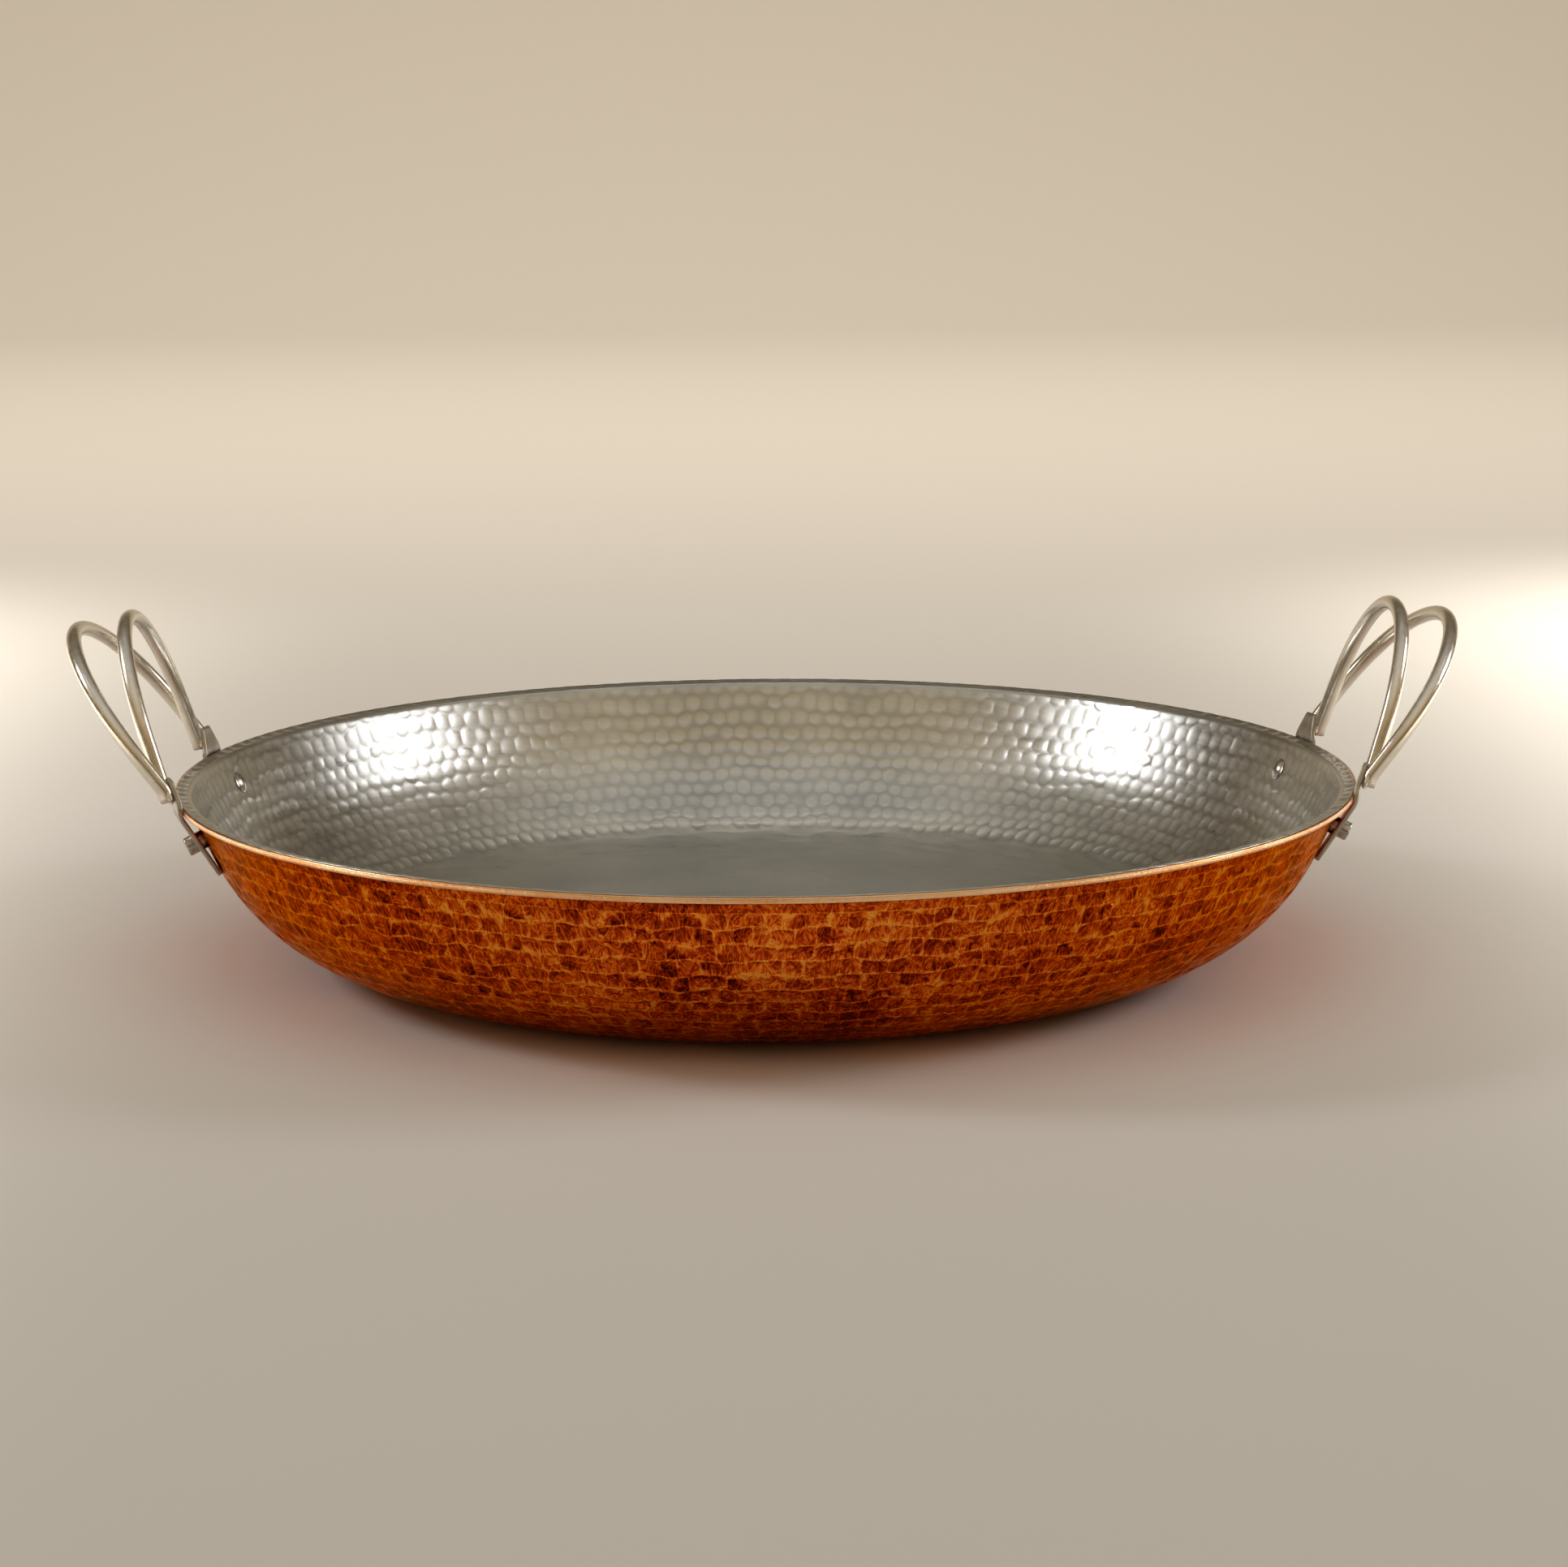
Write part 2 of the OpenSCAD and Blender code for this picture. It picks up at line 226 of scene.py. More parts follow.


# %% [markdown]
# ## From rings to a skin
# A modeller would draw quads between two rings that have the same number of points. Here some
# rings have more points than their neighbours, because rows of marks differ. So rings that line
# up are joined with quads, and others are closed like a zip, one triangle from this side and one
# from that. The depth of every mark and its tone, a random tone plus a painted shade across the
# mark, are kept on the points, for the materials.

# %% Sew rings into a mesh
def sew(rings, name, turn=1):
    """Joins each ring of points to the next and closes both ends. turn is -1 to flip the skin."""
    points, depths, tones_and_painted_shades, starts = [], [], [], []
    for ring in rings:
        starts.append(sum(len(p) for p in points))
        order = ring["angle"] % math.tau
        first = int(np.argmin(order))
        for key in ("angle", "r", "z", "depth", "tone"):
            ring[key] = np.roll(ring[key], -first)
        a = ring["angle"]
        points.append(np.column_stack([ring["r"] * np.cos(a), ring["r"] * np.sin(a), ring["z"]]))
        depths.append(ring["depth"])
        tones_and_painted_shades.append(ring["tone"])
    faces = []
    for k in range(len(rings) - 1):
        a, b = rings[k]["angle"] % math.tau, rings[k + 1]["angle"] % math.tau
        na, nb = len(a), len(b)
        a0, b0 = starts[k], starts[k + 1]
        step = math.tau / na
        lined_up = False
        if na == nb:
            gap = (b - a + math.pi) % math.tau - math.pi
            slip = round(float(np.median(gap)) / step)
            lined_up = np.abs(gap - slip * step).max() < 0.6 * step
        if lined_up:
            for i in range(na):
                j, i2 = (i - slip) % na, (i + 1) % na
                faces.append((a0 + i, a0 + i2, b0 + (j + 1) % na, b0 + j))
            continue
        i = j = 0
        while i < na or j < nb:
            next_a = a[i + 1] if i + 1 < na else (a[0] + math.tau if i < na else math.inf)
            next_b = b[j + 1] if j + 1 < nb else (b[0] + math.tau if j < nb else math.inf)
            if j >= nb or (i < na and next_a <= next_b):
                faces.append((a0 + i % na, a0 + (i + 1) % na, b0 + j % nb))
                i += 1
            else:
                faces.append((a0 + i % na, b0 + (j + 1) % nb, b0 + j % nb))
                j += 1
    body = np.vstack(points)
    last = len(body)
    poles = [[0, 0, float(np.mean(rings[k]["z"]))] for k in (0, -1)]
    body = np.vstack([body, poles])
    n = len(rings[0]["angle"])
    faces += [(last, (i + 1) % n, i) for i in range(n)]
    n, b0 = len(rings[-1]["angle"]), starts[-1]
    faces += [(last + 1, b0 + i, b0 + (i + 1) % n) for i in range(n)]
    mesh = bpy.data.meshes.new(name)
    mesh.from_pydata((body * MM).tolist(), [], [face[::turn] for face in faces])
    mesh.validate()
    for attribute_name, values in (("mark_depth", depths), ("mark_tone_and_painted_shade", tones_and_painted_shades)):
        mark = mesh.attributes.new(attribute_name, "FLOAT", "POINT")
        mark.data.foreach_set("value", np.concatenate(values + [np.zeros(2)]).astype(np.float32))
    mesh.polygons.foreach_set("use_smooth", [True] * len(mesh.polygons))
    piece = bpy.data.objects.new(name, mesh)
    bpy.context.scene.collection.objects.link(piece)
    triangles = sum(len(p.vertices) - 2 for p in mesh.polygons)
    print(f"{name}: {len(mesh.vertices)} points, {triangles} triangles")
    return piece


# %% [markdown]
# ## An uneven floor
# The floor inside is hammered nearly flat, but light still pools on it. Fourteen long, low waves
# that run in random directions give that swell. They are far too shallow to see as a shape.

# %% The floor's slight unevenness
def lumps(angle, radius, seed=3, size=0.05):
    """Height in mm of a floor that was planished nearly flat, with long shallow swells."""
    rng = np.random.default_rng(seed)
    x, y = radius * np.cos(angle), radius * np.sin(angle)
    height = np.zeros_like(x)
    for _ in range(14):
        way, length, phase = rng.uniform(0, math.tau), rng.uniform(14, 60), rng.uniform(0, math.tau)
        height += np.sin(math.tau * (x * math.cos(way) + y * math.sin(way)) / length + phase)
    return size * height / math.sqrt(7)


# %% [markdown]
# ## The copper
# Outside, each blow is about 5.8 mm wide and a quarter of a millimetre deep. The first row, next to
# the lip, is lighter, as the smith's hammer has less room there. Under the pan the copper is plain.
# The copper's own inner skin lies hidden in the tin, so it needs few points, and the cut edge is
# carried up from it with a small rounding.

# %% The hammered copper
mark_w = 5.8
floor_edge_r = 119
outer_floor = distance_at_r(outside, floor_edge_r)
first_row = lip_w + 3.2
row_count = round((outer_floor - first_row) / mark_w)
outer_edges = np.linspace(first_row, outer_floor, row_count + 1)
outer_edges[1:-1] += np.random.default_rng(5).normal(0, 0.25, row_count - 1)
outer_depth = np.full(row_count, 0.24)
outer_depth[0] = 0.1
COPPER_COLUMNS = 840
copper_rings = []
for distance in np.linspace(0.25, 0.92 * lip_w, 3):
    copper_rings.append(plain_ring(outside, distance, COPPER_COLUMNS))
for distance in np.linspace(lip_w, first_row - 0.5, 5):
    copper_rings.append(plain_ring(outside, distance, COPPER_COLUMNS))
copper_rings += mark_rows(outside, outer_edges, mark_w, outer_depth, seed=11, into=-1,
                          ridge=0.14, sharp=2.6, tilt=1.0, zigzag=0.06)
floor_end = np.hypot(*np.diff(outside, axis=0).T).sum()
floor_shares = (0.03, 0.1, 0.2, 0.32, 0.46, 0.6, 0.74, 0.87, 0.95)
floor_columns = (480, 360, 360, 240, 180, 120, 80, 48, 24)
for share, columns in zip(floor_shares, floor_columns):
    distance = outer_floor + share * (floor_end - outer_floor)
    copper_rings.append(plain_ring(outside, distance, columns))
copper_lap = 0.35
under = skin_line(sheet_t - copper_lap, rim_r)
hidden = []
for share, columns in ((0.9, 24), (0.6, 60), (0.3, 120), (0.0, 180)):
    distance = outer_floor + share * (floor_end - outer_floor) - 3
    hidden.append(plain_ring(under, distance, columns))
for distance in np.linspace(outer_floor - 8, lip_w + 3, 14):
    hidden.append(plain_ring(under, distance, 240))
edge_round = 0.25
hidden.append(plain_ring(under, lip_w, 450))
hidden.append(plain_ring(under, edge_round, COPPER_COLUMNS))
edge_low = bowl_h - sheet_t / math.cos(lip_rise)
for z in np.linspace(bowl_h - edge_round, edge_low + edge_round, 4):
    ring = plain_ring(outside, 0, COPPER_COLUMNS)
    ring["z"] = np.full(COPPER_COLUMNS, z)
    ring["r"] = np.full(COPPER_COLUMNS, rim_r)
    hidden.append(ring)
copper_bowl = sew(hidden + copper_rings, "hammered_copper", -1)
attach(copper_bowl, "root")
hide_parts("copper_bowl")

# %% [markdown]
# ## The tin
# The marks inside are those of a smith who worked round in even rings, each turned half a mark from
# the last, so they pack like a honeycomb. They are shallower than outside, because the molten tin
# that was wiped over them fills them a little. The lip has fine ribs that the hammer's edge left.
# The honeycomb needs 184 marks in every ring, so they get narrower towards the floor.

# %% The hammered tin
tin_end = distance_at_r(inside, 149)
inner_first = lip_w + 1.5
inner_heights = np.array([3.4, 7.2] + [6.0] * 9)
MARKS_AROUND = 184
inner_edges = inner_first + np.concatenate([[0], np.cumsum(inner_heights)])
scale = (tin_end - inner_first) / (inner_edges[-1] - inner_first)
inner_edges = inner_first + (inner_edges - inner_first) * scale
inner_depth = np.array([0.08, 0.13] + [0.14] * 8 + [0.22])
TIN_COLUMNS = 960
flute_wave = waves(77, 6, 30, 120)
tin_rings = []
FLUTES = 160
flute_depth = 0.18
for distance, height in ((0.2, 0.3), (0.8, 0.9), (1.8, 1), (2.7, 0.8), (3.3, 0.3)):
    tin_rings.append(plain_ring(inside, distance, TIN_COLUMNS))
    flute = np.sin(FLUTES * tin_rings[-1]["angle"]) + 0.35 * flute_wave(tin_rings[-1]["angle"])
    tin_rings[-1]["z"] += flute_depth * height * (flute - 1.3)
for distance in np.linspace(lip_w + 0.4, inner_first - 0.3, 3):
    tin_rings.append(plain_ring(inside, distance, TIN_COLUMNS))
tin_rings += mark_rows(inside, inner_edges, 5.6, inner_depth, seed=31, into=1,
                       ridge=0.35, sharp=2.6, tilt=0.4, zigzag=0.7, around=MARKS_AROUND)
inner_floor_end = np.hypot(*np.diff(inside, axis=0).T).sum()
for distance in np.linspace(tin_end + 2.4, inner_floor_end - 3, 48):
    r = inner_floor_end - distance
    columns = int(np.clip(2.4 * r, 24, 480) // 12 * 12)
    turn_angle = np.linspace(0, math.tau, columns, endpoint=False)
    tin_rings.append(plain_ring(inside, distance, columns, lumps(turn_angle, r)))
tin_under = skin_line(sheet_t - 0.25, rim_r - tin_margin)
tin_hidden = []
under_end = np.hypot(*np.diff(tin_under, axis=0).T).sum()
for share, columns in ((0.95, 24), (0.7, 60), (0.4, 120), (0.1, 180)):
    tin_hidden.append(plain_ring(tin_under, tin_end + share * (under_end - tin_end), columns))
for distance in np.linspace(tin_end - 3, lip_w + 2.5, 12):
    tin_hidden.append(plain_ring(tin_under, distance, 240))
tin_hidden.append(plain_ring(tin_under, lip_w - 0.5, 480))
tin_hidden.append(plain_ring(tin_under, 0.0, TIN_COLUMNS))
tin_lining = sew(tin_hidden + tin_rings, "wiped_tin_lining")
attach(tin_lining, "root")
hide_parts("tin_lining")


# %% [markdown]
# ## Straps
# A strap is a piece cut from 1.6 mm steel sheet. Its lower end is rounded, its top narrows to a
# tongue that carries the rods, and it is bent twice so that it clears the rim. It could be a flat
# outline with thickness added, but a strap has worn, rounded edges. So it is lofted: a rounded
# rectangle is carried up the strap, and its width follows the outline.


# %% A loft through closed sections
def loft(sections, name, turn=1):
    """A closed skin through sections with the same number of points, in mm. turn is -1 to flip it."""
    count = len(sections[0])
    faces = []
    for k in range(len(sections) - 1):
        for i in range(count):
            j = (i + 1) % count
            low, high = k * count, (k + 1) * count
            faces.append((low + i, low + j, high + j, high + i)[::turn])
    end_middles = [np.mean(sections[0], axis=0), np.mean(sections[-1], axis=0)]
    points = np.vstack(list(sections) + [end_middles])
    first, last = len(points) - 2, len(points) - 1
    top = (len(sections) - 1) * count
    faces += [(first, (i + 1) % count, i)[::turn] for i in range(count)]
    faces += [(last, top + i, top + (i + 1) % count)[::turn] for i in range(count)]
    mesh = bpy.data.meshes.new(name)
    mesh.from_pydata((points * MM).tolist(), [], faces)
    mesh.polygons.foreach_set("use_smooth", [True] * len(mesh.polygons))
    piece = bpy.data.objects.new(name, mesh)
    bpy.context.scene.collection.objects.link(piece)
    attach(piece, "root")
    return piece


def corners_of(node):
    """The corners of a CAD node's mesh, in mm."""
    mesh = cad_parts[node].data
    flat = np.empty(len(mesh.vertices) * 3, dtype=np.float32)
    mesh.vertices.foreach_get("co", flat)
    return flat.reshape(-1, 3) / MM


def middle_angle(node):
    """The angle about the pan's axis of a node's middle plane."""
    place = corners_of(node)
    away = np.arctan2(place[:, 1], place[:, 0])
    if place[:, 0].mean() < 0:
        away = away % math.tau
    return (away.min() + away.max()) / 2


# %% The four straps
strap_t, strap_w, tongue_w, strap_corner_r = 1.6, 14, 6, 5
lip_gap, tongue_bend_h = 0.15, 2
inner_lean = math.radians(17.5)
strap_low, strap_high = (corner[2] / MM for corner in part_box("right_front_strap"))
edge_r = rim_r + lip_gap
tongue_base = bowl_h + tongue_bend_h
wall_points, _ = along(outside, np.linspace(0, 60, 1200))
low_r = float(np.interp(-strap_low, -wall_points[:, 1], wall_points[:, 0]))
face_line = np.array([
    [low_r, strap_low],
    [edge_r, edge_low - lip_gap],
    [edge_r, tongue_base],
    [edge_r + (strap_high - tongue_base) * math.tan(inner_lean), strap_high],
])


def rounded_line(line, radius, step):
    """A broken line resampled evenly, its corners eased over about the given length."""
    length = np.concatenate([[0], np.cumsum(np.hypot(*np.diff(line, axis=0).T))])
    spots = np.linspace(0, length[-1], int(length[-1] / step) + 1)
    eased = np.zeros((len(spots), 2))
    shifts = np.linspace(-radius, radius, 9)
    reach = np.minimum(spots, length[-1] - spots)
    for shift in shifts:
        at = spots + shift * np.minimum(1, reach / radius)
        eased += np.column_stack([np.interp(at, length, line[:, k]) for k in (0, 1)]) / len(shifts)
    return eased


def rounded_box(half_w, half_t, edge, flats=8, steps=4):
    """A rounded rectangle's points: across the strap, then through its thickness."""
    edge = min(edge, half_w * 0.98, half_t * 0.98)
    ring = []
    for cx, cy, start in ((1, 1, 0), (-1, 1, 90), (-1, -1, 180), (1, -1, 270)):
        for a in np.radians(np.linspace(start, start + 90, steps + 1)):
            x, y = cx * (half_w - edge), cy * (half_t - edge)
            ring.append((x + edge * math.cos(a), y + edge * math.sin(a)))
        if start in (0, 180):
            for share in np.linspace(0, 1, flats + 1)[1:-1]:
                ring.append((cx * (half_w - edge) * (1 - 2 * share), cy * half_t))
    return np.array(ring)


def strap_sections(angle, seed):
    """Sections up a strap at an angle about the pan's axis, its outer face worn a little."""
    line = rounded_line(face_line, 1.2, 0.6)
    way = np.gradient(line, axis=0)
    way /= np.hypot(*way.T)[:, None]
    out = np.column_stack([way[:, 1], -way[:, 0]])
    centre_line = line + out * strap_t / 2
    down = np.concatenate([[0], np.cumsum(np.hypot(*np.diff(centre_line, axis=0).T))])
    dents = [waves(seed + k, 4, 2, 9) for k in range(2)]
    sections = []
    cap = 0.5
    for k, (r, z) in enumerate(centre_line):
        from_end = strap_corner_r - min(down[k], strap_corner_r)
        half_w = strap_w / 2 - strap_corner_r + math.sqrt(strap_corner_r**2 - from_end**2 + 1e-9)
        if line[k, 1] > bowl_h:
            share = (line[k, 1] - bowl_h) / (strap_high - bowl_h)
            half_w = (strap_w + (tongue_w - strap_w) * share) / 2
        near_end = min(down[k], down[-1] - down[k])
        squeeze = 1 - 0.5 * max(0, 1 - near_end / cap) ** 2
        ring = rounded_box(half_w, strap_t / 2 * squeeze, 0.45)
        worn = dents[0](ring[:, 0] * 0.12) * math.sin(down[k] * 0.9)
        worn = 0.05 * (worn + dents[1](ring[:, 0] * 0.2 + down[k] * 0.15))
        ring[:, 1] -= np.clip(worn, 0, None) * (ring[:, 1] > 0)
        turned = angle + ring[:, 0] / r
        rr = r + out[k, 0] * ring[:, 1]
        zz = z + out[k, 1] * ring[:, 1]
        sections.append(np.column_stack([rr * np.cos(turned), rr * np.sin(turned), zz]))
    return sections


steel_pieces = {"strap": [], "rivet": [], "weld": []}
HANDLE_ENDS = [(s, e) for s in ("left", "right") for e in ("front", "back")]
for number, (side_name, end_name) in enumerate(HANDLE_ENDS):
    node = f"{side_name}_{end_name}_strap"
    piece = loft(strap_sections(middle_angle(node), 200 + number), "worn_" + node, -1)
    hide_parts(node)
    steel_pieces["strap"].append(piece)

# %% [markdown]
# ## Rivets
# A rivet is a rod of soft steel pushed through strap and wall and hammered. Inside it is a low dome
# and outside a short stub. Its shape is one profile turned about the rivet's axis, so it is lofted
# from circles. Each circle is pushed in here and there by a few hundredths, as a hammer would.

# %% Rivets
rivet_drop, dome_d, stub_d, shank_d = 10.8, 7.5, 6, 4.5
rivet_z = bowl_h - rivet_drop
rivet_r = float(np.interp(-rivet_z, -wall_points[:, 1], wall_points[:, 0]))


def rivet_sections(node, seed):
    """Circles along a rivet's axis, from its dome inside the pan to the end of its stub."""
    angle = middle_angle(node.replace("rivet", "strap"))
    radial = np.array([math.cos(angle), math.sin(angle), 0])
    axis = radial * math.cos(wall_lean) - np.array([0, 0, math.sin(wall_lean)])
    foot = radial * rivet_r + np.array([0, 0, rivet_z])
    across = np.array([-math.sin(angle), math.cos(angle), 0])
    upward = np.cross(axis, across)
    spread = (corners_of(node) - foot) @ axis
    dome_top, stub_end = spread.min(), spread.max()
    dome_h = -dome_top - sheet_t - tin_t - 0.06
    ball_r = (dome_d**2 / 4 + dome_h**2) / (2 * dome_h)
    widest = math.asin(dome_d / 2 / ball_r)
    profile = []
    for a in np.linspace(0.12, 0.94, 8) * widest:
        profile.append((dome_top + ball_r * (1 - math.cos(a)), ball_r * math.sin(a)))
    base = dome_top + dome_h
    dome_r = dome_d / 2
    profile += [(base - 0.16, dome_r - 0.04), (base - 0.02, dome_r - 0.06), (base, dome_r - 0.25)]
    profile += [(base, shank_d / 2), (-0.3, shank_d / 2), (-0.25, stub_d / 2 - 0.1), (0.1, stub_d / 2)]
    profile += [(x, stub_d / 2) for x in np.linspace(0.8, stub_end - 0.7, 6)]
    for a in np.radians(np.linspace(0, 80, 6)):
        profile.append((stub_end - 0.55 + 0.55 * math.sin(a), stub_d / 2 - 0.55 + 0.55 * math.cos(a)))
    profile += [(stub_end, stub_d / 2 - 0.9), (stub_end - 0.04, stub_d / 2 - 1.6), (stub_end - 0.08, 0.6)]
    wobble = [waves(seed + k, 3, 2, 6) for k in range(2)]
    spin = np.linspace(0, math.tau, 40, endpoint=False)
    sections = []
    for x, r in profile:
        rr = r - 0.05 * np.clip(wobble[0](spin), 0, 1) * min(1, r / 2)
        push = 0.06 * np.clip(wobble[1](spin), 0, 1) * min(1, r / 2) * (1 if x < 0 else -1)
        circle = np.outer(rr * np.cos(spin), across) + np.outer(rr * np.sin(spin), upward)
        sections.append(foot + np.outer(x + push, axis) + circle)
    return sections


for number, (side_name, end_name) in enumerate(HANDLE_ENDS):
    node = f"{side_name}_{end_name}_rivet"
    piece = loft(rivet_sections(node, 300 + 5 * number), "set_" + node)
    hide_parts(node)
    steel_pieces["rivet"].append(piece)

# %% [markdown]
# ## Rods
# Each handle is two rods of 4.76 mm, bent cold round a former. The drawing gives their arcs, so the
# middle line is worked out from those. A curve object with a bevel would do the same, but sections
# placed one by one let the rod be a few hundredths thinner here and there, as hand polishing leaves
# it, and keep it inside the box of the CAD's rod.

# %% Rods
rod_d, rod_pitch, handle_span = 4.76, 5.0, 96
weld_flat, inner_splay, outer_lean = 0.5, math.radians(8.5), math.radians(37)
rod_base_z = tongue_base + 0.2
rod_base_r = edge_r + strap_t / math.cos(inner_lean) + 0.2 * math.tan(inner_lean)
rod_base_r = rod_base_r + (rod_d / 2 - weld_flat) / math.cos(inner_lean)
half_spans = {"inner": (handle_span - rod_pitch) / 2, "outer": (handle_span + rod_pitch) / 2}


def arch(half, leg, splay, crown_r, height):
    """One half of a rod's arch, from its foot up to the top, as sideways and upward distances."""
    leg_top = np.array([half - leg * math.sin(splay), leg * math.cos(splay)])
    inward = np.array([-math.cos(splay), -math.sin(splay)])
    from_crown = leg_top - [0, height - crown_r]
    shoulder_r = (crown_r**2 - from_crown @ from_crown) / (2 * (inward @ from_crown + crown_r))
    shoulder = leg_top + shoulder_r * inward
    joint = shoulder - [0, height - crown_r]
    crown_start = math.atan2(joint[1], joint[0])
    straight = np.linspace([half, 0], leg_top, max(4, int(leg / 1.5)))
    return np.vstack([
        straight[:-1],
        arc(shoulder, shoulder_r, splay, crown_start)[:-1:3],
        arc((0, height - crown_r), crown_r, crown_start, math.pi / 2)[::3],
    ])


def rod_path(kind):
    """The middle line of one rod of the right-hand handle."""
    half = half_spans[kind]
    base = np.array([math.sqrt(rod_base_r**2 - half**2), 0, rod_base_z])
    if kind == "inner":
        side_up = arch(half, 17.5, inner_splay, 49.5, 53)
        lean, start = inner_lean, base
        foot = []
    else:
        side_up = arch(half, 9, 0, 57.5, 53)
        lean = outer_lean
        turn = np.linspace(inner_lean, lean, 9)
        foot_line = [base + [0, half, 0]]
        for angle in turn:
            along_x = 1.5 * math.sin(inner_lean) + 10 * (math.cos(inner_lean) - math.cos(angle))
            along_z = 1.5 * math.cos(inner_lean) + 10 * (math.sin(angle) - math.sin(inner_lean))
            foot_line.append(base + [along_x, half, along_z])
        start = foot_line[-1] - [0, half, 0]
        foot = foot_line[:-1]
    rise = np.array([math.sin(lean), 0, math.cos(lean)])
    near = foot + [start + [0, y, 0] + rise * z for y, z in side_up]
    far = [p * [1, -1, 1] for p in near[::-1][1:]]
    return np.array(near + far)


def swept(path, radius, seed, spokes=28):
    """Sections of a round rod along a path, its radius shrunk here and there by a few hundredths."""
    ripple = waves(seed, 4, 1, 5)
    way = np.gradient(path, axis=0)
    way /= np.linalg.norm(way, axis=1)[:, None]
    one = np.cross(way[0], [0.1, 1, 0.3])
    spin = np.linspace(0, math.tau, spokes, endpoint=False)
    shrink = 0.02 * np.clip(ripple(np.linspace(0, math.tau, len(path))), 0, None)
    sections = []
    for k in range(len(path)):
        one = one - way[k] * (one @ way[k])
        one /= np.linalg.norm(one)
        two = np.cross(way[k], one)
        ring = np.outer(np.cos(spin), one) + np.outer(np.sin(spin), two)
        sections.append(path[k] + (radius - shrink[k]) * ring)
    first, last = sections[0], sections[-1]
    cap_in = [path[0] + (first - path[0]) * 0.9 - way[0] * 0.02]
    cap_out = [path[-1] + (last - path[-1]) * 0.9 + way[-1] * 0.02]
    return cap_in + sections + cap_out


steel_pieces["rod"] = []
for number, side_name in enumerate(("left", "right")):
    for kind in ("inner", "outer"):
        path = rod_path(kind)
        if side_name == "left":
            path = path * [-1, -1, 1]
        node = f"{side_name}_{kind}_loop"
        piece = loft(swept(path, rod_d / 2, 500 + number), "bent_" + node)
        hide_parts(node)
        steel_pieces["rod"].append(piece)

# %% [markdown]
# ## Welds
# A bead of weld fills the valley between the rods and joins them to the strap. It is a row of drops
# that froze one by one, so its thickness ripples about every 0.9 mm. The CAD has no welds, as there
# the rods rest on small flats, so these beads ride with the pan but stand for no part of their own.


# %% Welds
def bead(path, radii, seed):
    """Sections of a weld bead along a path, with the ripples that each drop of metal leaves."""
    rng = np.random.default_rng(seed)
    path = np.array(path, dtype=float)
    spots = np.linspace(0, 1, 26)
    sections = []
    shares = np.linspace(0, 1, len(path))
    run = np.column_stack([np.interp(spots, shares, path[:, k]) for k in range(3)])
    size = np.interp(spots, np.linspace(0, 1, len(radii)), radii)
    length = np.linalg.norm(path[-1] - path[0])
    for k, s in enumerate(spots):
        way = run[min(k + 1, 25)] - run[max(k - 1, 0)]
        way /= np.linalg.norm(way)
        one = np.cross(way, [0.3, 0.5, 0.8])
        one /= np.linalg.norm(one)
        two = np.cross(way, one)
        ripple = 1 + 0.07 * math.sin(s * length / 0.9 * math.tau) + rng.normal(0, 0.02)
        end = math.sqrt(max(0.03, 1 - abs(2 * s - 1) ** 6))
        spin = np.linspace(0, math.tau, 16, endpoint=False)
        circle = np.outer(np.cos(spin), one) + np.outer(np.sin(spin), two)
        sections.append(run[k] + size[k] * ripple * end * circle)
    return sections


for number, (side_name, end_name) in enumerate(HANDLE_ENDS):
    sx = 1 if side_name == "right" else -1
    sy = -1 if end_name == "front" else 1
    upward = np.array([sx * math.sin(inner_lean), 0, math.cos(inner_lean)])
    outward = np.array([sx * math.cos(inner_lean), 0, -math.sin(inner_lean)])
    inward = np.array([0, -sy, 0])
    feet = []
    for half in half_spans.values():
        feet.append(np.array([sx * math.sqrt(rod_base_r**2 - half**2), sy * half, rod_base_z]))
    inner_way = upward * math.cos(inner_splay) + inward * math.sin(inner_splay)
    outer_way = upward * math.cos(math.radians(4)) + outward * math.sin(math.radians(4))
    crotch = []
    for t in np.linspace(-0.2, 7.5, 8):
        crotch.append((feet[0] + inner_way * t + feet[1] + outer_way * t) / 2)
    front_valley = [p + outward * 1.15 for p in crotch[:6]]
    beads = [
        bead(crotch, [1.5, 1.5, 1.35, 1.2, 1.0, 0.8, 0.6, 0.45], 400 + number),
        bead(front_valley, [1.25, 1.25, 1.1, 0.9, 0.6], 410 + number),
    ]
    for foot, away in ((feet[0], inward), (feet[1], -inward)):
        start = foot + away * (rod_d / 2 - 0.35) - outward * 1.1
        beads.append(bead([start, start + upward * 3.4 + away * -0.4], [0.8, 0.75, 0.6], 420 + number))
    under = [feet[k] - outward * 0.8 - upward * 0.25 for k in (0, 1)]
    along_feet = (under[1] - under[0]) / np.linalg.norm(under[1] - under[0])
    ends = [under[0] - along_feet * 1.6, under[1] + along_feet * 1.6]
    beads.append(bead(ends, [0.85, 0.9, 0.85], 430 + number))
    for k, sections in enumerate(beads):
        piece = loft(sections, f"{side_name}_{end_name}_weld_{k + 1}")
        steel_pieces["weld"].append(piece)
print("straps, rivets, rods and weld beads:", {kind: len(pieces) for kind, pieces in steel_pieces.items()})


# %% [markdown]
# ## Materials
# Every material is a tree of nodes: a position, one or more noises, a colour ramp and a Principled
# shader. Noise has no size of its own, so each one's scale is worked out from how wide its lumps
# are on the real thing, in millimetres. All the metals keep the shader's own IOR.


# %% Materials: the helpers
def linear(hex_code):
    """An sRGB hex colour as the linear RGBA that a shader wants."""
    parts = [int(hex_code[k : k + 2], 16) / 255 for k in (1, 3, 5)]
    return [p / 12.92 if p <= 0.04045 else ((p + 0.055) / 1.055) ** 2.4 for p in parts] + [1]


def lumps_of(size_mm):
    """The Scale of a noise whose lumps are about this wide, rounded to a whole number."""
    return float(round(1 / (size_mm * MM)))


